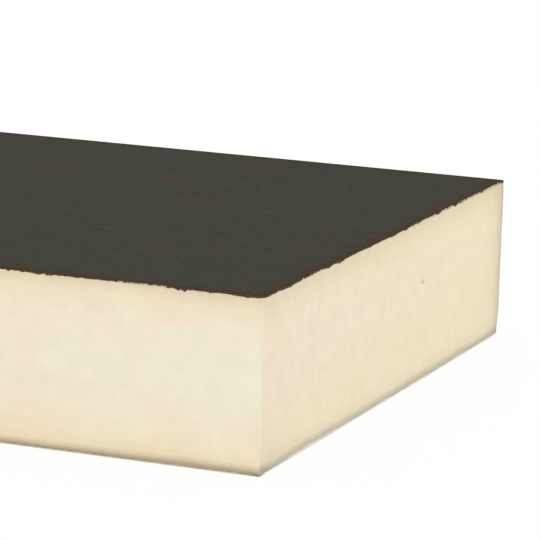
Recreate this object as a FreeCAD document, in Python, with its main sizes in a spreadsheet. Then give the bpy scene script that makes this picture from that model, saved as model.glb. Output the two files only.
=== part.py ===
import FreeCAD, Part
import Sketcher
import os

# Polyiso insulation board, lying flat: a rigid foam core laminated between two glass-mat facers.
# The facers are trimmed flush with the sawn core, so the three layers share one outline.
# Millimetres, +Z up, the board's length along X, the origin at the middle of its underside.

# Driving sizes: alias, value in millimetres, what it sets
SIZES = (
    ("board_length", 1200.0, "stock length, along X"),
    ("board_width", 600.0, "stock width, along Y"),
    ("board_thickness", 150.0, "overall thickness, both facers included"),
    ("top_facer_thickness", 1.0, "coated glass mat on the upper side"),
    ("bottom_facer_thickness", 1.0, "coated glass mat on the underside"),
    ("corner_radius", 1.5, "rounding of the four sawn upright corners"),
)

# Layers from the underside up: label, thickness, height of the layer's own underside
LAYERS = (
    (
        "bottom_facer",
        "sizes.bottom_facer_thickness",
        "0",
    ),
    (
        "foam_core",
        "sizes.board_thickness - sizes.bottom_facer_thickness - sizes.top_facer_thickness",
        "sizes.bottom_facer_thickness",
    ),
    (
        "top_facer",
        "sizes.top_facer_thickness",
        "sizes.board_thickness - sizes.top_facer_thickness",
    ),
)

# Sketcher's names for the sketch's own origin and for the two ends of a line
ORIGIN = (-1, 1)
START = 1
END = 2


def make_sheet(doc):
    """Write the driving sizes into a spreadsheet, one aliased cell each."""
    sheet = doc.addObject("Spreadsheet::Sheet", "sizes")
    for row, (alias, value, meaning) in enumerate(SIZES, start=1):
        sheet.set(f"A{row}", alias)
        sheet.set(f"B{row}", str(value))
        sheet.set(f"C{row}", meaning)
        sheet.setAlias(f"B{row}", alias)
    doc.recompute()
    return sheet


def ground_plane(body):
    """Find the body's own horizontal origin plane."""
    return next(plane for plane in body.Origin.OriginFeatures if plane.Role == "XY_Plane")


def draw_outline(body, sheet):
    """Draw the board's outline, a rectangle centred on the origin, bound to the length and the width."""
    sketch = body.newObject("Sketcher::SketchObject", f"{body.Name}_outline")
    sketch.AttachmentSupport = (ground_plane(body), [""])
    sketch.MapMode = "FlatFace"
    half_length = sheet.board_length / 2
    half_width = sheet.board_width / 2
    corners = [
        FreeCAD.Vector(-half_length, -half_width, 0),
        FreeCAD.Vector(half_length, -half_width, 0),
        FreeCAD.Vector(half_length, half_width, 0),
        FreeCAD.Vector(-half_length, half_width, 0),
    ]
    front, right, back, left = sketch.addGeometry(
        [Part.LineSegment(start, end) for start, end in zip(corners, corners[1:] + corners[:1])]
    )
    for side, following in ((front, right), (right, back), (back, left), (left, front)):
        sketch.addConstraint(Sketcher.Constraint("Coincident", side, END, following, START))
    for side in (front, back):
        sketch.addConstraint(Sketcher.Constraint("Horizontal", side))
    for side in (right, left):
        sketch.addConstraint(Sketcher.Constraint("Vertical", side))
    sketch.addConstraint(Sketcher.Constraint("Symmetric", front, START, back, START, *ORIGIN))
    along = sketch.addConstraint(
        Sketcher.Constraint("DistanceX", front, START, front, END, sheet.board_length)
    )
    across = sketch.addConstraint(
        Sketcher.Constraint("DistanceY", right, START, right, END, sheet.board_width)
    )
    sketch.renameConstraint(along, "length")
    sketch.renameConstraint(across, "width")
    sketch.setExpression("Constraints.length", "sizes.board_length")
    sketch.setExpression("Constraints.width", "sizes.board_width")
    return sketch


def upright_edges(shape):
    """Name the shape's upright edges, the four sawn corners."""
    names = []
    for number, edge in enumerate(shape.Edges, start=1):
        run = edge.Vertexes[-1].Point - edge.Vertexes[0].Point
        if run.cross(FreeCAD.Vector(0, 0, 1)).Length < FreeCAD.Base.Precision.confusion():
            names.append(f"Edge{number}")
    return names


def make_layer(doc, sheet, label, thickness, height):
    """Make one layer: the outline padded to its thickness, corners rounded, set at its height."""
    body = doc.addObject("PartDesign::Body", label)
    body.Label = label
    slab = body.newObject("PartDesign::Pad", f"{label}_slab")
    slab.Profile = draw_outline(body, sheet)
    slab.setExpression("Length", thickness)
    doc.recompute()
    corners = body.newObject("PartDesign::Fillet", f"{label}_corners")
    corners.Base = (slab, upright_edges(slab.Shape))
    corners.setExpression("Radius", "sizes.corner_radius")
    body.Tip = corners
    body.setExpression("Placement.Base.z", height)
    return body


def check(doc, bodies):
    """Stop if any object of the document failed, or any layer isn't one valid solid."""
    for item in doc.Objects:
        if "Invalid" in item.State or "Error" in item.State:
            raise RuntimeError(f"{item.Label} failed: {item.State}")
    for body in bodies:
        if body.Shape.isNull() or not body.Shape.isValid() or len(body.Shape.Solids) != 1:
            raise RuntimeError(f"{body.Label} isn't one valid solid")


def main():
    """Build the board's layers and write each one to its own file."""
    doc = FreeCAD.newDocument("insulation_board")
    sheet = make_sheet(doc)
    bodies = [make_layer(doc, sheet, *layer) for layer in LAYERS]
    doc.recompute()
    check(doc, bodies)
    os.makedirs("parts", exist_ok=True)
    for body in bodies:
        body.Shape.exportStep(os.path.join("parts", f"{body.Label}.step"))
        box = body.Shape.BoundBox
        size = " x ".join(f"{side:.2f}" for side in (box.XLength, box.YLength, box.ZLength))
        print(f"{body.Label}: {size} mm, from z {box.ZMin:.2f}")


main()
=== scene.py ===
import logging
import math
from dataclasses import dataclass
from enum import Enum
from functools import cached_property

import bpy
import numpy as np
from bpy.types import ID, Material, Mesh, Node, NodeSocket as Socket, Object, World
from mathutils import Matrix, Vector


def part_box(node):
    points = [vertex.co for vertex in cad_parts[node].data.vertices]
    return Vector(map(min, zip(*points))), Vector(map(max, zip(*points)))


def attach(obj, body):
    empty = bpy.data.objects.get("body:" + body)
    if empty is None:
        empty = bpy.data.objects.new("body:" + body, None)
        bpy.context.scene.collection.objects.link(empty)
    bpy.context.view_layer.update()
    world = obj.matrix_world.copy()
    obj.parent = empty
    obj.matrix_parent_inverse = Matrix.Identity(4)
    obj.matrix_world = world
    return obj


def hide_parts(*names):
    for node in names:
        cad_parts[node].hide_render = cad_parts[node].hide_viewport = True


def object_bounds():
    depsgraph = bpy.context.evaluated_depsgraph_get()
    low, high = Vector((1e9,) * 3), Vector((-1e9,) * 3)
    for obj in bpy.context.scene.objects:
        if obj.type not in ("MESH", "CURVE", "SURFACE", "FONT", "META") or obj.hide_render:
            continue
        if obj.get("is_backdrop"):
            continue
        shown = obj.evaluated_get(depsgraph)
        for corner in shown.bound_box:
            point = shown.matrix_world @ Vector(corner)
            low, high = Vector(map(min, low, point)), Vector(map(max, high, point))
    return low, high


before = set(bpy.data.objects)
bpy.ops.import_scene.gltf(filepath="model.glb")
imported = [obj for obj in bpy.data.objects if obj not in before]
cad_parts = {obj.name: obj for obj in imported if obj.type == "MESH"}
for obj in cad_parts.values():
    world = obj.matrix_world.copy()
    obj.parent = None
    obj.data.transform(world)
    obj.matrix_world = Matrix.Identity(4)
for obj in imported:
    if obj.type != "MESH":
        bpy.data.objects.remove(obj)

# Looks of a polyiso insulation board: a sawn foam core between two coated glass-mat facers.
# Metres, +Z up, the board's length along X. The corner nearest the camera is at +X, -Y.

LOG = logging.getLogger("insulation_board")
BODY = "root"
MM = 0.001

Array = np.ndarray
Colour = tuple[int, int, int]
Inputs = dict[int | str, object]
Range = tuple[float, float]
Size = tuple[float, float, float]
Stops = tuple[tuple[float, Colour], ...]


class Layer(Enum):
    """The board's layers, by the frame's node names."""

    CORE = "foam_core"
    TOP = "top_facer"
    BOTTOM = "bottom_facer"


class Slot(Enum):
    """The record's material slots."""

    FOAM = "foam"
    FACER = "facer"


class Side(Enum):
    """The board's sawn sides that face the camera, by their outward directions."""

    FRONT = (0.0, -1.0)
    RIGHT_END = (1.0, 0.0)


class EndCorner(Enum):
    """The right end's upright corners, by the sign of their y."""

    NEAR = -1.0
    FAR = 1.0


def linear(colour: Colour) -> tuple[float, float, float, float]:
    """Turn a screen colour into the linear colour that a shader takes, by the sRGB curve.

    Args:
        colour: red, green and blue, each from 0 to 255.

    Returns:
        Linear red, green and blue, and an alpha of 1.
    """
    share = np.array(colour) / 255.0
    channels = np.where(share <= 0.04045, share / 12.92, ((share + 0.055) / 1.055) ** 2.4)
    return (*channels.tolist(), 1.0)


def smooth(low: float, high: float, value: Array) -> Array:
    """Rise smoothly from 0 at low to 1 at high, by the cubic 3t^2 - 2t^3."""
    t = np.clip((value - low) / (high - low), 0.0, 1.0)
    return t * t * (3.0 - 2.0 * t)


def bell(value: Array, reach: float) -> Array:
    """Fall from 1 by a bell curve, the exponential of minus the square of value / reach."""
    return np.exp(-((value / reach) ** 2))


def about_one(noise: Array, swing: float = 1.0) -> Array:
    """Turn noise about 0 into a factor about 1, held between 0 and 2."""
    return np.clip(1.0 + swing * noise, 0.0, 2.0)


def heading(azimuth: float, elevation: float) -> Vector:
    """Point so many degrees anticlockwise from the front, seen from above, and so many above the floor."""
    turn, rise = math.radians(azimuth), math.radians(elevation)
    return Vector((math.sin(turn) * math.cos(rise), -math.cos(turn) * math.cos(rise), math.sin(rise)))


@dataclass(frozen=True)
class Outline:
    """The board's outline from above: a rectangle with rounded corners, cut into columns.

    The columns start in the middle of the right end and run anticlockwise. They mirror themselves about
    both middle lines, so column j and column count - j face each other across the board's width. A closed
    shell is carried round it in rings of columns, from a spine below, out, up and in to a spine above.
    """

    length: float
    width: float
    spacing: float
    corner_radius: float = 1.5 * MM
    corner_steps: int = 8
    least_facing: float = 0.7

    def quarter(self) -> tuple[Array, Array]:
        """Lay out the quarter from the right end's middle, round the back corner, to the back's middle.

        Returns:
            The columns' points and outward directions, each as rows of x and y.
        """
        end, side = self.half
        radius = self.corner_radius
        rise = np.linspace(0.0, side - radius, round((side - radius) / self.spacing) + 1)
        run = np.linspace(end - radius, 0.0, round((end - radius) / self.spacing) + 1)
        turn = np.linspace(0.0, math.pi / 2, self.corner_steps + 1)[1:-1]
        facing = np.stack([np.cos(turn), np.sin(turn)], 1)
        points = np.concatenate([
            np.stack([np.full_like(rise, end), rise], 1),
            np.array([end - radius, side - radius]) + radius * facing,
            np.stack([run, np.full_like(run, side)], 1),
        ])
        normals = np.concatenate([
            np.tile([1.0, 0.0], (len(rise), 1)),
            facing,
            np.tile([0.0, 1.0], (len(run), 1)),
        ])
        return points, normals

    def mirrored(self, quarter: Array) -> Array:
        """Mirror rows of x and y for the columns of a quarter into those of the whole outline."""
        half = np.concatenate([quarter, quarter[::-1][1:] * (-1.0, 1.0)])
        return np.concatenate([half, half[::-1][1:-1] * (1.0, -1.0)])

    @cached_property
    def half(self) -> Array:
        """Give half the length and half the width."""
        return np.array([self.length, self.width]) / 2

    @cached_property
    def points(self) -> Array:
        """Give the columns' points, as rows of x and y."""
        return self.mirrored(self.quarter()[0])

    @cached_property
    def normals(self) -> Array:
        """Give the columns' outward directions, as rows of x and y."""
        return self.mirrored(self.quarter()[1])

    @cached_property
    def distance(self) -> Array:
        """Measure each column's distance along the outline from the first column."""
        steps = np.linalg.norm(np.diff(self.points, axis=0), axis=1)
        return np.concatenate([[0.0], np.cumsum(steps)])

    @cached_property
    def girth(self) -> float:
        """Measure the whole way round the outline."""
        return float(self.distance[-1] + np.linalg.norm(self.points[0] - self.points[-1]))

    def from_corner(self) -> Array:
        """Measure each column's distance from the nearest upright corner, along the outline."""
        return (self.half - np.abs(self.points)).max(1)

    def from_end(self, corner: EndCorner) -> Array:
        """Measure each column's straight distance from one of the right end's upright corners."""
        return np.linalg.norm(self.points - self.half * (1.0, corner.value), axis=1)

    def along_side(self, side: Side) -> Array:
        """Measure from the near corner along one side and half its corners; other columns are infinite."""
        on_side = self.normals @ np.array(side.value) > self.least_facing
        return np.where(on_side, self.from_end(EndCorner.NEAR), np.inf)

    def endwise(self, rings: int) -> Array:
        """Work out how far the columns face along the board, from 0 to 1, one row for each ring."""
        return np.tile(np.abs(self.normals[:, 0]), (rings, 1))

    def spine(self) -> tuple[Array, Array]:
        """Find where each column ends when the outline shrinks onto the board's middle line.

        Returns:
            The middle line's x positions, and for each column the index of its own position there.
        """
        count = len(self.points)
        number = np.arange(count)
        partner = np.minimum(number, count - number)
        first = int(np.argmax(self.points[:, 1]))
        last = count // 2 - first
        shrink = 1.0 - self.width / self.length
        line = self.points[first:last + 1, 0] / self.points[first, 0] * self.length / 2 * shrink
        return line, np.clip(partner, first, last) - first

    def ring_points(self, inset: Array, height: Array) -> Array:
        """Place rings of columns, from a row of insets and a row of heights for each ring."""
        # x and y keep the share 1 - inset / half of themselves, so each straight side moves in by the inset.
        plan = self.points[None] * (1.0 - inset[..., None] / self.half)
        return np.concatenate([plan, height[..., None]], 2)

    def shell(self, name: str, rings: Array) -> Mesh:
        """Join rings into a closed mesh, with a spine under the first ring and one over the last.

        Args:
            name: the mesh's name.
            rings: points, one row of columns for each ring, from the underside out, up and in again.

        Returns:
            The mesh, with its faces pointing outwards.
        """
        spine_x, spine_index = self.spine()
        ring_count, columns, _ = rings.shape
        number = np.arange(ring_count * columns).reshape(ring_count, columns)
        following = np.roll(number, -1, axis=1)
        vertices = [rings.reshape(-1, 3)]
        quads = [np.stack([number[:-1], following[:-1], following[1:], number[1:]], -1).reshape(-1, 4)]
        triangles = []
        offset = number.size
        for ring, turn in ((0, -1), (ring_count - 1, 1)):
            height = np.bincount(spine_index, rings[ring, :, 2]) / np.bincount(spine_index)
            vertices.append(np.stack([spine_x, np.zeros_like(spine_x), height], 1))
            own = offset + spine_index
            next_own = np.roll(own, -1)
            cap = np.stack([number[ring], following[ring], next_own, own], 1)
            pointed = own == next_own
            quads.append(cap[~pointed][:, ::turn])
            triangles.append(cap[pointed][:, :3][:, ::turn])
            offset += len(spine_x)
        return make_mesh(name, np.concatenate(vertices), np.concatenate(quads), np.concatenate(triangles))


@dataclass(frozen=True)
class EdgeNoise:
    """Repeatable unevenness round an outline or over the walls on it, with an RMS of 1."""

    shortest: float
    longest: float
    slope: float
    seed: int
    samples: int = 8192
    levels: int = 64

    def read(self, outline: Outline, wave: Array) -> Array:
        """Read a wave's samples round the outline off at its columns, in proportion between samples."""
        grid = np.arange(self.samples) * outline.girth / self.samples
        return np.interp(outline.distance, grid, wave, period=outline.girth)

    def round(self, outline: Outline) -> Array:
        """Make noise round the outline that closes on itself.

        Every harmonic between the shortest and the longest wavelength gets a random phase and an amplitude
        of its wavelength to the power slope. An inverse Fourier transform adds them up.

        Args:
            outline: the line to follow.

        Returns:
            One value for each column.
        """
        rng = np.random.default_rng(self.seed)
        wavelength = outline.girth / np.arange(1, self.samples // 2 + 1)
        in_band = (wavelength >= self.shortest) & (wavelength <= self.longest)
        amplitude = np.where(in_band, wavelength ** self.slope, 0.0)
        phase = rng.uniform(0.0, math.tau, len(wavelength))
        wave = np.fft.irfft(np.concatenate([[0.0], amplitude * np.exp(1j * phase)]), self.samples)
        return self.read(outline, wave / wave.std())

    def wall(self, outline: Outline, heights: Array) -> Array:
        """Make noise over the wall that stands on the outline.

        The same sum as round(), in two directions, on an even grid twice as tall as the wall: each pair of
        harmonics, along and up, has one wavelength, and the power is half a step steeper because short
        wavelengths have more pairs. The levels are read off between the grid's rows in proportion.

        Args:
            outline: the line that the wall stands on.
            heights: the wall's levels, from 0 up.

        Returns:
            One row of values for each level.
        """
        reach = 2.0 * float(heights.max())
        rng = np.random.default_rng(self.seed)
        along = np.fft.rfftfreq(self.samples, outline.girth / self.samples)
        upward = np.fft.fftfreq(self.levels, reach / self.levels)
        frequency = np.hypot(upward[:, None], along[None, :])
        in_band = (frequency >= 1.0 / self.longest) & (frequency <= 1.0 / self.shortest)
        wavelength = 1.0 / np.where(in_band, frequency, 1.0)
        amplitude = np.where(in_band, wavelength ** (self.slope + 0.5), 0.0)
        phase = rng.uniform(0.0, math.tau, frequency.shape)
        field = np.fft.irfft2(amplitude * np.exp(1j * phase), (self.levels, self.samples))
        level = heights / reach * self.levels
        below = np.floor(level).astype(int)
        share = (level - below)[:, None]
        rows = field[below % self.levels] * (1.0 - share) + field[(below + 1) % self.levels] * share
        return np.stack([self.read(outline, row) for row in rows / field.std()])


class RimNoise(Enum):
    """A facer's kinds of unevenness: shortest and longest wavelength, slope and step of the seed."""

    SLOW_DRAG = (40.0 * MM, 160.0 * MM, 0.5, 0)
    FINE_DRAG = (3.0 * MM, 22.0 * MM, 0.4, 1)
    TRIM = (3.0 * MM, 40.0 * MM, 0.4, 2)
    SWELL = (90.0 * MM, 400.0 * MM, 0.5, 3)
    DUST = (4.0 * MM, 40.0 * MM, 0.4, 4)

    def round(self, outline: Outline, seed: int) -> Array:
        """Make this noise round an outline, from the facer's own seed."""
        shortest, longest, slope, step = self.value
        return EdgeNoise(shortest, longest, slope, seed + step).round(outline)


def make_mesh(name: str, vertices: Array, quads: Array, triangles: Array) -> Mesh:
    """Put whole arrays of points and faces into a mesh.

    Args:
        name: the mesh's name.
        vertices: rows of x, y and z.
        quads: rows of four point numbers.
        triangles: rows of three point numbers.

    Returns:
        The mesh, shaded smooth.
    """
    mesh = bpy.data.meshes.new(name)
    corners = np.concatenate([quads.ravel(), triangles.ravel()])
    sizes = np.concatenate([np.full(len(quads), 4), np.full(len(triangles), 3)])
    mesh.vertices.add(len(vertices))
    mesh.vertices.foreach_set("co", vertices.astype(np.float32).ravel())
    mesh.loops.add(len(corners))
    mesh.loops.foreach_set("vertex_index", corners.astype(np.int32))
    mesh.polygons.add(len(sizes))
    mesh.polygons.foreach_set("loop_start", (np.cumsum(sizes) - sizes).astype(np.int32))
    mesh.polygons.foreach_set("use_smooth", np.ones(len(sizes), dtype=bool))
    mesh.update(calc_edges=True)
    mesh.validate()
    return mesh


def put(data: ID) -> Object:
    """Put a mesh, a camera or a lamp into the scene, as an object of the same name.

    Args:
        data: the mesh, camera or lamp.

    Returns:
        The object.
    """
    item = bpy.data.objects.new(data.name, data)
    bpy.context.scene.collection.objects.link(item)
    return item


def add_piece(mesh: Mesh, layer: Layer, material: Material, marks: dict[str, Array]) -> None:
    """Put a finished mesh into the scene in place of a layer of the frame.

    Args:
        mesh: the piece's mesh, in the frame's own place.
        layer: the layer that it stands for.
        material: its finish.
        marks: numbers for the finish to read at each point, by name; the spines' points get 0.
    """
    for name, values in marks.items():
        whole = np.zeros(len(mesh.vertices), dtype=np.float32)
        whole[:values.size] = values.ravel()
        mesh.attributes.new(name, "FLOAT", "POINT").data.foreach_set("value", whole)
    piece = put(mesh)
    mesh.materials.append(material)
    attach(piece, BODY)
    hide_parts(layer.value)
    LOG.info("%s stands for %s with %d faces", piece.name, layer.value, len(mesh.polygons))


@dataclass(frozen=True)
class Surface:
    """How a finish takes the light: roughness where its texture is 0 and 1, specular level and bump."""

    roughness: Range
    specular: float
    bump_depth: float
    bump_strength: float = 0.6


@dataclass(frozen=True)
class Cloud:
    """Clouds in a finish: repeats for each metre, alike or along x, y and z, octaves, and strength."""

    scale: float | Size
    detail: float
    swing: float = 1.0


class NodeBench:
    """Builds the node tree of a material or a world."""

    def __init__(self, owner: Material | World) -> None:
        """Start on the owner's own node tree."""
        owner.use_nodes = True
        self.tree = owner.node_tree

    def feed(self, node: Node, inputs: Inputs) -> Node:
        """Link a node's inputs to outputs of others, or set them to plain values.

        Args:
            node: the node.
            inputs: outputs or plain values, by the input's number or name.

        Returns:
            The node.
        """
        for key, value in inputs.items():
            if isinstance(value, Socket):
                self.tree.links.new(value, node.inputs[key])
            else:
                node.inputs[key].default_value = value
        return node

    def add(self, kind: str, inputs: Inputs, **settings: str) -> Node:
        """Add a node.

        Args:
            kind: the node's type.
            inputs: outputs or plain values, by the input's number or name.
            settings: the node's own properties.

        Returns:
            The node.
        """
        node = self.tree.nodes.new(kind)
        for name, value in settings.items():
            setattr(node, name, value)
        return self.feed(node, inputs)

    def math(self, operation: str, *values: object) -> Socket:
        """Do one sum on up to three values."""
        return self.add("ShaderNodeMath", dict(enumerate(values)), operation=operation).outputs[0]

    def by_ray(self, lighting: float, seen: float) -> Socket:
        """Tell the rays that light the board from those that show the studio itself.

        Args:
            lighting: the value for rays that light the board.
            seen: the value for camera, glossy and transmission rays.

        Returns:
            The value.
        """
        path = self.add("ShaderNodeLightPath", {}).outputs
        shown = self.math("MAXIMUM", path["Is Camera Ray"], path["Is Glossy Ray"])
        shown = self.math("MAXIMUM", shown, path["Is Transmission Ray"])
        levels = {"Value": shown, "To Min": lighting, "To Max": seen}
        return self.add("ShaderNodeMapRange", levels).outputs[0]


class FinishBench(NodeBench):
    """Builds one finish on the piece's own coordinates."""

    def __init__(self, name: str) -> None:
        """Start a material.

        Args:
            name: its name.
        """
        self.material = bpy.data.materials.new(name)
        super().__init__(self.material)
        self.place = self.add("ShaderNodeTexCoord", {}).outputs["Object"]

    def attribute(self, name: str) -> Socket:
        """Read a number that the mesh stores for each point."""
        return self.add("ShaderNodeAttribute", {}, attribute_name=name).outputs["Fac"]

    def vector(self, operation: str, *values: object) -> Socket:
        """Do one sum on vectors."""
        return self.add("ShaderNodeVectorMath", dict(enumerate(values)), operation=operation).outputs[0]

    def reach(self, place: Vector, size: Size) -> Socket:
        """Measure the distance from a place, as a share of a size along each axis."""
        share = self.vector("DIVIDE", self.vector("SUBTRACT", self.place, place), size)
        return self.vector("LENGTH", share).node.outputs["Value"]

    def cloud(self, cloud: Cloud, turn: float = 0.0) -> Socket:
        """Add clouds of values about 0.5.

        Args:
            cloud: their scale and detail.
            turn: degrees by which the axes are turned about the upright one, where each has its own scale.

        Returns:
            The values.
        """
        where, scale = self.place, cloud.scale
        if isinstance(scale, tuple):
            inputs = {"Vector": where, "Angle": math.radians(turn)}
            turned = self.add("ShaderNodeVectorRotate", inputs, rotation_type="Z_AXIS").outputs[0]
            where, scale = self.vector("MULTIPLY", turned, scale), 1.0
        inputs = {"Vector": where, "Scale": scale, "Detail": cloud.detail}
        return self.add("ShaderNodeTexNoise", inputs).outputs["Fac"]

    def cells(self, scale: float) -> Socket:
        """Measure the distance from the nearest of many scattered points, so many for each metre."""
        return self.add("ShaderNodeTexVoronoi", {"Vector": self.place, "Scale": scale}).outputs["Distance"]

    def shift(self, value: Socket, cloud: Cloud) -> Socket:
        """Raise and lower a value by clouds: the value + (cloud - 0.5) * swing."""
        away = self.math("SUBTRACT", self.cloud(cloud), 0.5)
        return self.math("ADD", value, self.math("MULTIPLY", away, cloud.swing))

    def span(
        self, value: Socket, source: Range, target: Range = (0.0, 1.0), kind: str = "SMOOTHSTEP"
    ) -> Socket:
        """Carry a value from one range to another, smoothly or in another way, held at both ends."""
        inputs = dict(enumerate((value, *source, *target)))
        return self.add("ShaderNodeMapRange", inputs, interpolation_type=kind).outputs[0]

    def ramp(self, value: Socket, stops: Stops) -> Socket:
        """Colour a value along a run of stops.

        Args:
            value: from 0 to 1.
            stops: places along the run, each with a screen colour.

        Returns:
            The colour.
        """
        node = self.add("ShaderNodeValToRGB", {"Fac": value})
        elements = node.color_ramp.elements
        while len(elements) < len(stops):
            elements.new(1.0)
        for element, (position, colour) in zip(elements, stops):
            element.position = position
            element.color = linear(colour)
        return node.outputs["Color"]

    def mix(self, share: object, first: object, second: object, blend: str = "MIX") -> Socket:
        """Mix two colours.

        Args:
            share: how much of the second colour shows.
            first: an output, or a screen colour.
            second: an output, or a screen colour.
            blend: how the second meets the first.

        Returns:
            The mixed colour.
        """
        # A mix node's colours are its inputs 6 and 7 and its output 2; those before are numbers and vectors.
        inputs = {0: share}
        for key, colour in ((6, first), (7, second)):
            inputs[key] = linear(colour) if isinstance(colour, tuple) else colour
        return self.add("ShaderNodeMix", inputs, data_type="RGBA", blend_type=blend).outputs[2]

    def tint(self, colour: Socket, tint: object) -> Socket:
        """Multiply a colour by another one."""
        return self.mix(1.0, colour, tint, "MULTIPLY")

    def brighten(self, colour: Socket, value: Socket, swing: float) -> Socket:
        """Lighten and darken a colour by a value about 0.5: the colour * (1 + (value - 0.5) * swing)."""
        factor = self.math("MULTIPLY_ADD", value, swing, 1.0 - swing / 2)
        return self.add("ShaderNodeVectorMath", {0: colour, "Scale": factor}, operation="SCALE").outputs[0]

    def clouded(self, colour: Socket, cloud: Cloud) -> Socket:
        """Lighten and darken a colour by clouds."""
        return self.brighten(colour, self.cloud(cloud), cloud.swing)

    def dress(self, colour: Socket, texture: Socket, height: Socket, surface: Surface) -> Material:
        """Finish the material.

        Args:
            colour: its colour.
            texture: what its roughness follows, from 0 to 1.
            height: its bump's height.
            surface: how it takes the light.

        Returns:
            The material.
        """
        bump = {"Height": height, "Distance": surface.bump_depth, "Strength": surface.bump_strength}
        inputs = {
            "Base Color": colour,
            "Roughness": self.span(texture, (0.0, 1.0), surface.roughness),
            "Specular IOR Level": surface.specular,
            "Normal": self.add("ShaderNodeBump", bump).outputs[0],
        }
        self.feed(self.tree.nodes["Principled BSDF"], inputs)
        return self.material


@dataclass(frozen=True)
class Dent:
    """A place where the surface gives way towards the board's middle."""

    place: Vector
    size: Size
    depth: float

    def give(self, points: Array) -> Array:
        """Work out how far points give way: a bell curve of the distance as a share of the dent's size."""
        away = (points - np.array(self.place)) / np.array(self.size)
        return self.depth * np.exp(-(away ** 2).sum(-1))


@dataclass(frozen=True)
class Void(Dent):
    """A void that the saw has opened, with painted shade darkening its middle."""

    shade: float


@dataclass(frozen=True)
class Bubbles:
    """Small voids all through the foam: points for each metre, and each one's radius and painted shade."""

    scale: float
    radius: float
    shade: float


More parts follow.
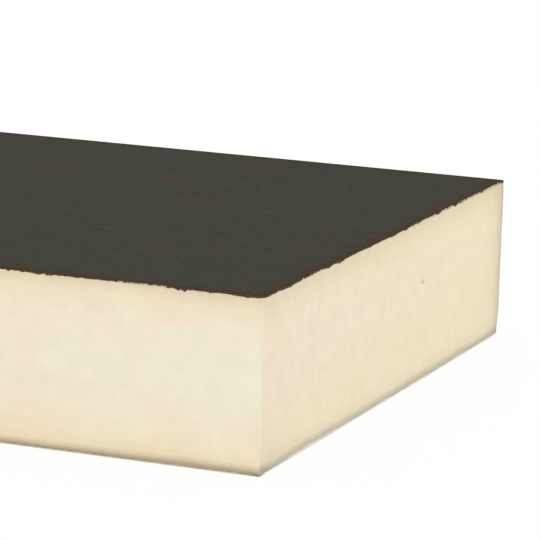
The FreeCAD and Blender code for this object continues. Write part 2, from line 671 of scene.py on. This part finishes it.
@dataclass(frozen=True)
class FoamFinish:
    """Sawn closed-cell foam: pale in the middle of the cut, warmer near the facers, with a few open voids.
    Its colour also carries painted shade: dark bands at the foot and under the top facer, a darker ramp on
    the ends than on the long sides, painted shade in the voids, and the sawn wall's painted-shade tint.

    Each pair of tints is for the long sides and for the ends.
    """

    bottom: float
    top: float
    pale_place: Vector
    fade_place: Vector
    voids: tuple[Void, ...]
    pale_reach: Size = (185.0 * MM, 140.0 * MM, 38.0 * MM)
    pale_wander: Cloud = Cloud(22.0, 3.0, 1.6)
    pale_edge: Range = (0.75, 1.1)
    pale_clouds: Cloud = Cloud(6.0, 3.0)
    cloud_edge: Range = (0.56, 0.66)
    fade_reach: Size = (1000.0 * MM, 1000.0 * MM, 150.0 * MM)
    fade_edge: Range = (0.12, 0.65)
    # Colour by height on the long sides: a warmer skin by each facer, with painted shade in the dark bands
    # at the foot and under the top facer.
    side_shaded_levels: Stops = (
        (0.0, (198, 186, 160)),
        (0.012, (184, 172, 144)),
        (0.03, (220, 205, 173)),
        (0.055, (242, 228, 194)),
        (0.1, (244, 231, 202)),
        (0.2, (244, 232, 208)),
        (0.35, (242, 234, 212)),
        (0.6, (242, 234, 212)),
        (0.8, (244, 233, 211)),
        (0.92, (240, 230, 200)),
        (0.965, (234, 221, 189)),
        (0.993, (226, 213, 182)),
        (1.0, (210, 196, 167)),
    )
    # Colour by height on the ends, a shaded copy a little darker than the long sides: painted shade at the
    # foot and under the top facer, and painted light at the very foot that cancels the floor's shade.
    end_shaded_levels: Stops = (
        (0.0, (248, 241, 231)),
        (0.014, (200, 190, 177)),
        (0.03, (209, 199, 180)),
        (0.06, (235, 223, 200)),
        (0.12, (240, 227, 206)),
        (0.35, (240, 227, 204)),
        (0.6, (240, 226, 204)),
        (0.8, (240, 227, 202)),
        (0.9, (236, 222, 195)),
        (0.96, (230, 217, 187)),
        (0.993, (226, 213, 188)),
        (1.0, (208, 196, 171)),
    )
    level_wander: Cloud = Cloud(14.0, 3.0, 0.03)
    pale_tints: tuple[Colour, Colour] = ((252, 255, 254), (255, 254, 255))
    warm_tints: tuple[Colour, Colour] = ((254, 250, 251), (254, 255, 247))
    rosy_tints: tuple[Colour, Colour] = ((255, 253, 253), (255, 254, 255))
    sallow_tints: tuple[Colour, Colour] = ((254, 255, 254), (255, 255, 252))
    sallow_clouds: Cloud = Cloud(34.0, 3.0)
    sallow_edge: Range = (0.38, 0.62)
    # The bluish-grey tint of the painted shade on the sawn wall.
    painted_shade_tint: Colour = (207, 205, 214)
    layering: Cloud = Cloud((7.0, 7.0, 70.0), 3.0, 0.03)
    mottle: Cloud = Cloud(60.0, 4.0, 0.12)
    grain: Cloud = Cloud(420.0, 3.0, 0.08)
    pore_scale: float = 2600.0
    pore_reach: float = 0.7
    pore_swing: float = 0.09
    # The painted shade in the voids: a brown darkening towards their middles.
    void_shade_colour: Colour = (120, 102, 74)
    void_core: float = 0.3
    bubbles: tuple[Bubbles, ...] = (Bubbles(20.0, 1.3 * MM, 0.22), Bubbles(75.0, 0.7 * MM, 0.16))
    bubble_core: float = 0.4
    surface: Surface = Surface(roughness=(0.88, 1.0), specular=0.15, bump_depth=0.15 * MM)

    def build(self) -> Material:
        """Make the foam's material.

        Returns:
            The material.
        """
        bench = FinishBench("sawn_foam")
        on_end = bench.attribute("sawn_end")
        height = bench.add("ShaderNodeSeparateXYZ", {0: bench.place}).outputs["Z"]
        level = bench.shift(bench.span(height, (self.bottom, self.top), kind="LINEAR"), self.level_wander)
        # The height ramps carry painted shade at the foot and under the top facer, darker on the ends.
        colour = bench.mix(on_end, bench.ramp(level, self.side_shaded_levels), bench.ramp(level, self.end_shaded_levels))
        warm = bench.mix(on_end, *self.warm_tints)
        pale = bench.mix(on_end, *self.pale_tints)
        colour = bench.tint(colour, bench.mix(self.patches(bench, on_end), warm, pale))
        sallow = bench.span(bench.cloud(self.sallow_clouds), self.sallow_edge)
        tints = bench.mix(on_end, *self.rosy_tints), bench.mix(on_end, *self.sallow_tints)
        colour = bench.tint(colour, bench.mix(sallow, *tints))
        # Painted shade: the wall darkens towards this tint at its corners and at the right end's foot.
        colour = bench.mix(bench.attribute("painted_shade"), colour, bench.tint(colour, self.painted_shade_tint))
        colour = bench.clouded(bench.clouded(colour, self.layering), self.mottle)
        grain = bench.cloud(self.grain)
        pores = bench.span(bench.cells(self.pore_scale), (0.0, self.pore_reach))
        colour = bench.brighten(bench.brighten(colour, grain, self.grain.swing), pores, self.pore_swing)
        # Painted shade in the voids.
        colour = bench.mix(self.void_shade(bench), colour, self.void_shade_colour)
        return bench.dress(colour, pores, bench.math("ADD", pores, grain), self.surface)

    def patches(self, bench: FinishBench, on_end: Socket) -> Socket:
        """Mark the paler patches.

        One by the near corner with a wandering edge, a few clouds elsewhere, and on the ends a slow fade
        that starts from the near corner.

        Args:
            bench: the material's bench.
            on_end: 1 on the ends, 0 on the long sides.

        Returns:
            How much of a pale patch shows, from 0 to 1.
        """
        away = bench.shift(bench.reach(self.pale_place, self.pale_reach), self.pale_wander)
        near = bench.span(away, self.pale_edge, (1.0, 0.0))
        clouds = bench.span(bench.cloud(self.pale_clouds), self.cloud_edge)
        slow = bench.span(bench.reach(self.fade_place, self.fade_reach), self.fade_edge, (1.0, 0.0))
        slow = bench.math("MULTIPLY", slow, on_end)
        return bench.math("MAXIMUM", slow, bench.math("MAXIMUM", near, clouds))

    def void_shade(self, bench: FinishBench) -> Socket:
        """Mark the painted shade in the voids that the saw has opened.

        Each point of a coarse and of a finer scatter has a bubble about it, and the cut shows the bubbles
        that it passes through. The larger voids are given one by one.

        Args:
            bench: the material's bench.

        Returns:
            How much painted shade shows, from 0 to 1.
        """
        shown = 0.0
        for bubbles in self.bubbles:
            away = bench.math("DIVIDE", bench.cells(bubbles.scale), bubbles.scale)
            core = self.bubble_core * bubbles.radius
            spot = bench.span(away, (core, bubbles.radius), (bubbles.shade, 0.0))
            shown = bench.math("MAXIMUM", spot, shown)
        for void in self.voids:
            spot = bench.span(bench.reach(void.place, void.size), (self.void_core, 1.0), (void.shade, 0.0))
            shown = bench.math("MAXIMUM", spot, shown)
        return shown


@dataclass(frozen=True)
class FacerFinish:
    """Coated glass mat: matt charcoal, with fibres lying every way under the coat and a browner cut edge."""

    name: str = "coated_glass_mat"
    coat: Colour = (62, 63, 54)
    warm_coat: Colour = (67, 62, 53)
    warm_clouds: Cloud = Cloud(17.0, 1.0)
    warm_edge: Range = (0.5, 0.74)
    rim_warmth: float = 0.18
    rubbed_edge: Colour = (67, 50, 29)
    rubbed: float = 0.95
    rubbed_fade: float = 2.3
    fibre_turns: tuple[float, ...] = (8.0, 33.0, 71.0, 97.0, 118.0, 156.0)
    fibre: Cloud = Cloud((65.0, 1100.0, 1.0), 1.0, 0.2)
    fibre_crest: Range = (0.53, 0.74)
    mottle: Cloud = Cloud(55.0, 4.0, 0.16)
    streaks: Cloud = Cloud((4.0, 90.0, 1.0), 2.0, 0.08)
    side_edge: Colour = (63, 48, 29)
    end_edge: Colour = (65, 51, 33)
    plies: Cloud = Cloud((180.0, 180.0, 2200.0), 3.0, 0.5)
    foam_dust: Colour = (214, 198, 166)
    dust_specks: Cloud = Cloud(700.0, 3.0)
    speck_edge: Range = (0.42, 0.6)
    speck_share: Range = (0.3, 1.6)
    surface: Surface = Surface(roughness=(0.96, 0.84), specular=0.02, bump_depth=0.12 * MM)

    def build(self) -> Material:
        """Make the facer's material.

        Returns:
            The material.
        """
        bench = FinishBench(self.name)
        near_edge = bench.attribute("near_edge")
        warmth = bench.math("MULTIPLY", near_edge, self.rim_warmth)
        blotches = bench.span(bench.math("ADD", bench.cloud(self.warm_clouds), warmth), self.warm_edge)
        colour = bench.mix(blotches, self.coat, self.warm_coat)
        rubbed = bench.math("MULTIPLY", bench.math("POWER", near_edge, self.rubbed_fade), self.rubbed)
        colour = bench.mix(rubbed, colour, self.rubbed_edge)
        mat = self.fibres(bench)
        colour = bench.brighten(colour, mat, self.fibre.swing)
        colour = bench.clouded(bench.clouded(colour, self.mottle), self.streaks)
        rim = bench.mix(bench.attribute("sawn_end"), self.side_edge, self.end_edge)
        colour = bench.mix(bench.attribute("cut_edge"), colour, bench.clouded(rim, self.plies))
        specks = bench.span(bench.cloud(self.dust_specks), self.speck_edge, self.speck_share)
        dusted = bench.math("MULTIPLY", bench.attribute("dusted_edge"), specks)
        colour = bench.mix(dusted, colour, self.foam_dust)
        return bench.dress(colour, mat, mat, self.surface)

    def fibres(self, bench: FinishBench) -> Socket:
        """Lay fibres in several directions: clouds drawn out along each one, of which the crests count.

        Args:
            bench: the material's bench.

        Returns:
            The mat's height, from 0 to 1.
        """
        mat = 0.0
        for turn in self.fibre_turns:
            crest = bench.span(bench.cloud(self.fibre, turn), self.fibre_crest)
            mat = bench.math("MAXIMUM", crest, mat)
        return mat


@dataclass
class FoamCore:
    """The sawn foam slab between the facers."""

    outline: Outline
    bottom: float
    top: float
    dents: tuple[Dent, ...]
    levels: int = 56
    crowding: float = 0.7
    recess: float = 0.14 * MM
    wander: float = 0.05 * MM
    wander_noise: EdgeNoise = EdgeNoise(25.0 * MM, 300.0 * MM, 1.0, 11)
    saw_depth: float = 0.007 * MM
    saw_pitch: float = 9.0 * MM
    saw_radius: float = 220.0 * MM
    ease_depth: float = 0.35 * MM
    ease_height: float = 1.6 * MM
    crumble_depth: float = 0.45 * MM
    crumble_edge: Range = (0.2, 2.0)
    upper_crumble: EdgeNoise = EdgeNoise(3.0 * MM, 30.0 * MM, 0.5, 23)
    lower_crumble: EdgeNoise = EdgeNoise(3.0 * MM, 40.0 * MM, 0.5, 29)
    crush_depth: float = 0.2 * MM
    crush_reach: float = 2.5 * MM
    crush_noise: EdgeNoise = EdgeNoise(6.0 * MM, 60.0 * MM, 0.7, 31)
    unevenness: float = 0.5
    # Painted shade on the sawn wall: darker at the far right corner, along every upright arris, on the right
    # end by the near corner and at the near corner's foot.
    far_shade_reach: float = 14.0 * MM
    arris_reach: float = 2.0 * MM
    arris_shade: float = 0.07
    near_reach: float = 70.0 * MM
    near_shade: float = 0.05
    foot_height: float = 28.0 * MM
    foot_shade: float = 0.18
    corner_shade: float = 0.45
    corner_reach: float = 18.0 * MM
    corner_height: float = 9.0 * MM
    front_share: float = 0.5

    def heights(self) -> Array:
        """Space the levels evenly less a share of a sine wave, so that they crowd towards both facers.

        Returns:
            The levels' heights above the floor, as a column.
        """
        step = np.linspace(0.0, 1.0, self.levels)[:, None]
        share = step - self.crowding * np.sin(math.tau * step) / math.tau
        return self.bottom + (self.top - self.bottom) * share

    def relief(self) -> Array:
        """Work out how far the sawn wall lies inside the outline.

        The sum of a plain recess, a slow wander of the cut, the blade's shallow arcs, eased and crumbled
        arrises that fade as a bell curve away from each facer, crushed upright corners that fade along the
        outline, and the dents.

        Returns:
            One row of depths for each level.
        """
        height = self.heights()
        above = height - self.bottom
        below = self.top - height
        wander = self.wander_noise.wall(self.outline, above[:, 0])
        arcs = (height - (self.bottom + self.top) / 2) ** 2 / (2.0 * self.saw_radius)
        saw = np.sin(math.tau * (self.outline.distance + arcs) / self.saw_pitch)
        upper = smooth(*self.crumble_edge, self.upper_crumble.round(self.outline))
        lower = smooth(*self.crumble_edge, self.lower_crumble.round(self.outline))
        crush = np.exp(-self.outline.from_corner() / self.crush_reach)
        crushed = about_one(self.crush_noise.wall(self.outline, above[:, 0]), self.unevenness)
        wall = self.outline.ring_points(np.zeros_like(saw), np.broadcast_to(height, saw.shape))
        return (
            self.recess
            + self.wander * about_one(wander, self.unevenness)
            + self.saw_depth * (1.0 + saw)
            + bell(above, self.ease_height) * (self.ease_depth + self.crumble_depth * lower)
            + bell(below, self.ease_height) * self.crumble_depth * upper
            + self.crush_depth * crush * crushed
            + sum(dent.give(wall) for dent in self.dents)
        )

    def painted_wall_shade(self) -> Array:
        """Work out how much painted shade darkens the sawn wall.

        Most at the far right corner, by an exponential of the distance from it. A little on every upright
        arris, on the right end by the near corner, most at the foot, and about the near corner's own foot,
        less on the front, as bell curves of the distances.

        Returns:
            One row of painted-shade shares for each level.
        """
        above = self.heights() - self.bottom
        far = np.exp(-self.outline.from_end(EndCorner.FAR) / self.far_shade_reach)
        arris = self.arris_shade * bell(self.outline.from_corner(), self.arris_reach)
        near = bell(self.outline.along_side(Side.RIGHT_END), self.near_reach)
        foot = near * (self.near_shade + self.foot_shade * bell(above, self.foot_height))
        facing = self.front_share + (1.0 - self.front_share) * self.outline.normals[:, 0] ** 2
        from_near = self.outline.from_end(EndCorner.NEAR)
        corner = bell(from_near, self.corner_reach) * bell(above, self.corner_height) * facing
        return np.maximum(np.maximum(far, arris), foot + self.corner_shade * corner)

    def build(self, finish: FoamFinish) -> None:
        """Make the foam slab.

        Args:
            finish: its finish.
        """
        depth = self.relief()
        rings = self.outline.ring_points(depth, np.broadcast_to(self.heights(), depth.shape))
        mesh = self.outline.shell("sawn_foam_core", rings)
        # The wall's second mark is painted shade, read by the finish as a darkening.
        marks = {"sawn_end": self.outline.endwise(self.levels), "painted_shade": self.painted_wall_shade()}
        add_piece(mesh, Layer.CORE, finish.build(), marks)


@dataclass(frozen=True)
class Burr:
    """A scrap of facer that the saw has dragged over the foam, or a nick where its drop is negative."""

    side: Side
    along: float
    half_width: float
    drop: float


class Climb(Enum):
    """How far up the cut wall dust clings: shares of its height between which it fades."""

    LOW = (0.6, 0.95)
    HIGH = (0.9, 1.25)

    def share(self, level: Array) -> Array:
        """Fade smoothly up the wall."""
        return 1.0 - smooth(*self.value, level)


@dataclass(frozen=True)
class DustRun:
    """A stretch of the cut edge where foam dust clings, between two distances from the near corner."""

    side: Side
    start: float
    end: float
    climb: Climb
    ramp: float = 12.0 * MM

    def share(self, outline: Outline, level: Array) -> Array:
        """Rise smoothly about the run's start, fall smoothly about its end and fade smoothly up the wall.

        Args:
            outline: the line that the edge follows.
            level: the rings' rises up the wall, as shares of its height.

        Returns:
            The dust's share, one row for each ring.
        """
        along = outline.along_side(self.side)
        begun = smooth(self.start - self.ramp, self.start + self.ramp, along)
        going = begun * (1.0 - smooth(self.end - self.ramp, self.end + self.ramp, along))
        return going * self.climb.share(level)


@dataclass
class Facer:
    """A coated glass-mat sheet bonded to the foam, with the ragged rim that the saw leaves.

    The lip's rows are insets in millimetres and shares of the drag, the wall's rows are further insets in
    millimetres and shares of the thickness, and the two faces' hidden and shown insets are millimetres.
    """

    outline: Outline
    layer: Layer
    bonded: float
    exposed: float
    seed: int
    dents: tuple[Dent, ...]
    dent_fade: float = 8.0 * MM
    burrs: tuple[Burr, ...] = ()
    drag: float = 0.35 * MM
    slow_drag: float = 0.15 * MM
    fine_drag: float = 0.32 * MM
    least_drag: float = 0.06 * MM
    trim: float = 0.12 * MM
    trim_swing: float = 0.6
    hidden: tuple[float, ...] = (150.0, 40.0, 8.0, 1.5)
    lip: tuple[Range, ...] = ((0.25, 0.0), (0.22, 0.5), (0.18, 0.88), (0.12, 1.0), (0.06, 0.9), (0.03, 0.6))
    wall: tuple[Range, ...] = ((0.0, 0.15), (0.0, 0.6), (0.06, 0.86), (0.25, 1.0))
    shown: tuple[float, ...] = (
        0.9, 2.0, 4.0, 8.0, 16.0, 30.0, 50.0, 75.0, 105.0, 140.0, 180.0, 225.0, 270.0
    )
    droop: float = 0.1 * MM
    droop_reach: float = 3.0 * MM
    sag: float = 0.08 * MM
    sag_edge: Range = (2.0 * MM, 60.0 * MM)
    sag_turn: float = 70.0 * MM
    rim_width: float = 0.6 * MM
    edge_fade: Range = (0.7, 1.05)
    warm_reach: float = 14.0 * MM
    bare_corner: float = 0.0
    bare_reach: float = 8.0 * MM
    dust_runs: tuple[DustRun, ...] = ()
    dust: float = 0.9
    dust_level: float = 0.8
    dust_swing: float = 0.4
    dust_everywhere: float = 0.07
    clean_drag: Range = (0.15 * MM, 0.5 * MM)

    def noise(self, kind: RimNoise) -> Array:
        """Make one kind of unevenness round the rim."""
        return kind.round(self.outline, self.seed)

    def thickness(self) -> float:
        """Measure the sheet's thickness."""
        return abs(self.exposed - self.bonded)

    def drop(self) -> Array:
        """Work out how far the rim is dragged over the foam.

        An even drag, a slow and a fine unevenness and the burrs' bell curves, never less than a thin lip.

        Returns:
            One distance for each column.
        """
        total = self.drag + self.slow_drag * self.noise(RimNoise.SLOW_DRAG)
        total = total + self.fine_drag * self.noise(RimNoise.FINE_DRAG)
        for burr in self.burrs:
            away = self.outline.along_side(burr.side) - burr.along
            total = total + burr.drop * bell(away, burr.half_width)
        return np.maximum(total, self.least_drag)

    def profile(self) -> tuple[Array, Array]:
        """Carry the sheet's section round the outline.

        Each ring has an inset from the outline and a rise above the bonded face: along the bonded face to
        the foam's edge, down the dragged lip, up the cut wall, over a small round and in across the exposed
        face, which droops by an exponential towards the rim and sags by a smooth rise away from it.

        Returns:
            The insets and the rises, one row for each ring.
        """
        thickness = self.thickness()
        drop = self.drop()
        cut = self.trim * about_one(self.noise(RimNoise.TRIM), self.trim_swing)
        wave = self.noise(RimNoise.SWELL)
        level = np.ones_like(drop)
        hidden = np.array(self.hidden)[:, None] * MM
        shown = np.array(self.shown)[:, None] * MM
        lip = np.array(self.lip)
        wall = np.array(self.wall)
        ease = self.droop * np.exp(-shown / self.droop_reach) * about_one(wave)
        swell = self.sag * smooth(*self.sag_edge, shown) * about_one(wave * np.cos(shown / self.sag_turn))
        insets = [hidden * level, lip[:, :1] * MM * level, cut + wall[:, :1] * MM, shown * level]
        rises = [0.0 * hidden * level, -lip[:, 1:] * drop, wall[:, 1:] * thickness * level]
        return np.concatenate(insets), np.concatenate([*rises, thickness - ease - swell])

    def give(self, insets: Array) -> Array:
        """Work out how far the dents push the rings in, fading by an exponential of their insets."""
        rim = self.outline.ring_points(np.zeros_like(insets), np.full_like(insets, self.bonded))
        return sum(dent.give(rim) for dent in self.dents) * np.exp(-insets / self.dent_fade)

    def dusting(self, level: Array) -> Array:
        """Work out how much foam dust clings to the cut wall.

        The dust runs, broken by an unevenness round the outline, fading smoothly under the burrs, and a
        little dust everywhere on the lower part of the wall.

        Args:
            level: the rings' rises as shares of the thickness.

        Returns:
            The dust's share, one row for each ring.
        """
        patchy = np.clip(self.dust_level + self.dust_swing * self.noise(RimNoise.DUST), 0.0, 1.0)
        clean = 1.0 - smooth(*self.clean_drag, self.drop())
        runs = sum(run.share(self.outline, level) for run in self.dust_runs) * patchy * clean
        return self.dust * np.maximum(runs, self.dust_everywhere * Climb.LOW.share(level))

    def build(self, finish: FacerFinish) -> None:
        """Make the facer.

        Args:
            finish: its finish.
        """
        insets, rises = self.profile()
        level = rises / self.thickness()
        on_rim = insets < self.rim_width
        bare = self.bare_corner * bell(self.outline.from_end(EndCorner.NEAR), self.bare_reach)
        upward = 1 if self.exposed > self.bonded else -1
        rings = self.outline.ring_points(insets + self.give(insets), self.bonded + upward * rises)
        mesh = self.outline.shell(f"glass_mat_{self.layer.value}", rings[::upward])
        marks = {
            "cut_edge": (1.0 - smooth(*self.edge_fade, level)) * (1.0 - bare) * on_rim,
            "dusted_edge": self.dusting(level) * on_rim,
            "near_edge": np.exp(-insets / self.warm_reach),
            "sawn_end": self.outline.endwise(len(rises)),
        }
        marks = {name: values[::upward] for name, values in marks.items()}
        add_piece(mesh, self.layer, finish.build(), marks)


@dataclass(frozen=True)
class PhotoCamera:
    """The camera at the photograph's place, set by where the near upper corner falls in the picture."""

    picture: int = 540
    focal_pixels: float = 3534.0
    corner_pixel: Range = (264.2, 296.7)
    corner_depth: float = 2.838
    azimuth: float = 22.22
    elevation: float = 11.76
    roll: float = 1.42
    sensor: float = 36.0
    clip_end: float = 100.0

    def build(self, corner: Vector) -> None:
        """Make the camera and look through it.

        Args:
            corner: the board's near upper corner.
        """
        back = heading(self.azimuth, self.elevation)
        level = heading(self.azimuth + 90.0, 0.0)
        upright = back.cross(level)
        tilt = math.radians(self.roll)
        right = math.cos(tilt) * level + math.sin(tilt) * upright
        up = math.cos(tilt) * upright - math.sin(tilt) * level
        metres = self.corner_depth / self.focal_pixels
        aside = (self.corner_pixel[0] - self.picture / 2) * metres
        above = (self.picture / 2 - self.corner_pixel[1]) * metres
        place = corner + self.corner_depth * back - aside * right - above * up
        data = bpy.data.cameras.new("photo_camera")
        data.sensor_width = self.sensor
        data.lens = self.focal_pixels * self.sensor / self.picture
        data.clip_end = self.clip_end
        camera = put(data)
        camera.matrix_world = Matrix.Translation(place) @ Matrix((right, up, back)).transposed().to_4x4()
        bpy.context.scene.camera = camera
        LOG.info("%s looks from %s", camera.name, tuple(round(value, 3) for value in place))


@dataclass(frozen=True)
class SoftLamp:
    """A broad soft light from one direction, with its light on a face square to it as a share of white."""

    name: str
    azimuth: float
    share: float
    elevation: float = 24.0
    spread: float = 70.0

    def build(self) -> None:
        """Hang the lamp."""
        data = bpy.data.lights.new(self.name, "SUN")
        data.energy = self.share * math.pi
        data.angle = math.radians(self.spread)
        lamp = put(data)
        towards = heading(self.azimuth, self.elevation)
        lamp.rotation_euler = towards.to_track_quat("Z", "Y").to_euler()
        LOG.info("%s gives %.2f of white", lamp.name, self.share)


@dataclass(frozen=True)
class Studio:
    """A white floor and an even white surround, with a soft lamp towards each side of the board."""

    floor_reach: float = 30.0
    floor_gap: float = 0.4 * MM
    floor_colour: float = 0.93
    seen_colour: float = 0.99
    floor_glow: float = 0.9
    surround: float = 0.85
    lamps: tuple[SoftLamp, ...] = (
        SoftLamp("front_lamp", 10.0, 0.11),
        SoftLamp("right_lamp", 78.0, 0.12),
        SoftLamp("back_lamp", 190.0, 0.09),
        SoftLamp("left_lamp", 258.0, 0.09),
    )

    def build_world(self) -> None:
        """Set the surround: white where it is seen, and an even soft light on the board."""
        world = bpy.data.worlds.new("white_surround")
        bench = NodeBench(world)
        light = {"Color": (1.0, 1.0, 1.0, 1.0), "Strength": bench.by_ray(self.surround, 1.0)}
        bench.feed(bench.tree.nodes["Background"], light)
        bpy.context.scene.world = world

    def build_floor(self) -> None:
        """Lay the floor just under the board: white where it is seen, with the board's shadow."""
        corners = np.array([[-1, -1], [1, -1], [1, 1], [-1, 1]]) * self.floor_reach
        vertices = np.column_stack([corners, np.full(4, -self.floor_gap)])
        mesh = make_mesh("studio_floor", vertices, np.array([[0, 1, 2, 3]]), np.zeros((0, 3), dtype=int))
        floor = put(mesh)
        material = bpy.data.materials.new("white_floor")
        bench = NodeBench(material)
        bench.tree.nodes.clear()
        grey = bench.by_ray(self.floor_colour, self.seen_colour)
        paint = bench.add("ShaderNodeBsdfDiffuse", {"Color": grey}).outputs[0]
        glow = bench.add("ShaderNodeEmission", {"Strength": 1.0}).outputs[0]
        share = bench.by_ray(0.0, self.floor_glow)
        blend = bench.add("ShaderNodeMixShader", {0: share, 1: paint, 2: glow}).outputs[0]
        bench.add("ShaderNodeOutputMaterial", {"Surface": blend})
        mesh.materials.append(material)
        floor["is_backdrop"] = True

    def build(self) -> None:
        """Set up the surround, the floor and the lamps."""
        bpy.context.scene.view_settings.view_transform = "Standard"
        self.build_world()
        self.build_floor()
        for lamp in self.lamps:
            lamp.build()


def set_burrs(side: Side, rows: tuple[Size, ...]) -> tuple[Burr, ...]:
    """Set burrs along one side, from rows of distance from the near corner, half width and drop in mm."""
    return tuple(Burr(side, *(value * MM for value in row)) for row in rows)


FRONT_BURRS = set_burrs(Side.FRONT, (
    (0.0, 2.5, -0.9),
    (6.0, 3.0, 0.6),
    (13.0, 5.0, 1.15),
    (24.0, 4.5, 0.5),
    (36.0, 9.0, -0.5),
    (46.0, 3.5, 0.8),
    (70.0, 2.0, 1.7),
    (75.3, 1.8, 1.6),
    (80.0, 2.5, 0.5),
    (106.0, 17.0, -0.6),
    (191.0, 6.0, 0.7),
    (204.0, 9.0, 0.7),
    (229.0, 1.5, 0.8),
))
END_BURRS = set_burrs(Side.RIGHT_END, (
    (0.0, 5.0, -0.9),
    (4.0, 10.0, 0.6),
    (50.0, 10.0, 0.6),
    (60.0, 70.0, 0.5),
    (115.0, 14.0, -0.3),
    (122.0, 7.0, -0.5),
    (143.0, 6.0, 1.25),
    (168.0, 6.0, 1.75),
    (215.0, 5.0, -0.5),
    (238.0, 5.0, 0.6),
    (295.0, 8.0, 1.0),
    (329.0, 4.5, 1.2),
    (338.0, 5.0, -0.6),
    (411.0, 7.0, 1.2),
    (461.0, 4.5, 1.6),
    (480.0, 9.0, 0.8),
    (490.0, 130.0, -0.7),
    (537.0, 7.0, 0.5),
    (598.0, 9.0, 1.0),
))
TOP_DUST = (
    DustRun(Side.FRONT, 84.0 * MM, 128.0 * MM, Climb.LOW),
    DustRun(Side.RIGHT_END, 70.0 * MM, 130.0 * MM, Climb.LOW),
    DustRun(Side.RIGHT_END, 345.0 * MM, 415.0 * MM, Climb.LOW),
    DustRun(Side.RIGHT_END, 415.0 * MM, 600.0 * MM, Climb.HIGH),
    DustRun(Side.RIGHT_END, 545.0 * MM, 585.0 * MM, Climb.HIGH),
)

# Places on the right end, from the near upper corner
VOID_OFFSET = Vector((0.0, 378.0 * MM, -58.2 * MM))
PALE_OFFSET = Vector((0.0, 0.0, -66.0 * MM))
FADE_OFFSET = Vector((0.0, 0.0, -46.0 * MM))

VOID_SIZE = (7.0 * MM, 7.0 * MM, 3.4 * MM)
CORE_SPACING = 2.4 * MM
RIM_SPACING = 1.2 * MM


def knock(place: Vector, reach: float, depth: float) -> Dent:
    """Blunt a place on the board's rim, alike in every direction."""
    return Dent(place, (reach, reach, reach), depth)


def main() -> None:
    """Build the board's layers, the studio and the camera, and report each piece."""
    logging.basicConfig(level=logging.INFO, format="%(message)s")
    cad_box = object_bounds()
    low, high = cad_box
    length, width = high.x - low.x, high.y - low.y
    core_low, core_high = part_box(Layer.CORE.value)
    near_corner = Vector((high.x, low.y, high.z))
    far_foot = Vector((high.x, high.y, low.z))
    voids = (Void(near_corner + VOID_OFFSET, VOID_SIZE, depth=0.7 * MM, shade=0.33),)
    knocks = (
        knock(far_foot, reach=14.0 * MM, depth=1.0 * MM),
        knock(far_foot, reach=110.0 * MM, depth=0.8 * MM),
        knock(Vector(high), reach=8.0 * MM, depth=0.6 * MM),
    )
    core = FoamCore(Outline(length, width, CORE_SPACING), core_low.z, core_high.z, voids + knocks)
    pale_place, fade_place = near_corner + PALE_OFFSET, near_corner + FADE_OFFSET
    core.build(FoamFinish(core_low.z, core_high.z, pale_place, fade_place, voids))
    rim = Outline(length, width, RIM_SPACING)
    upper = Facer(rim, Layer.TOP, core_high.z, high.z, seed=101, dents=knocks)
    upper.burrs = FRONT_BURRS + END_BURRS
    upper.dust_runs = TOP_DUST
    upper.build(FacerFinish())
    lower = Facer(rim, Layer.BOTTOM, core_low.z, low.z, seed=211, dents=knocks)
    lower.drag = 0.2 * MM
    lower.slow_drag = 0.12 * MM
    lower.edge_fade = (1.0, 1.3)
    lower.bare_corner = 0.55
    # The lower facer's cut edge is painted pale, nearly white on the end: foam dust, together with painted
    # light that cancels the floor's shade at the foot.
    lower.build(FacerFinish("dusty_glass_mat_painted_light", side_edge=(204, 194, 174), end_edge=(250, 245, 236)))
    Studio().build()
    PhotoCamera().build(near_corner)


if __name__ == "__main__":
    main()
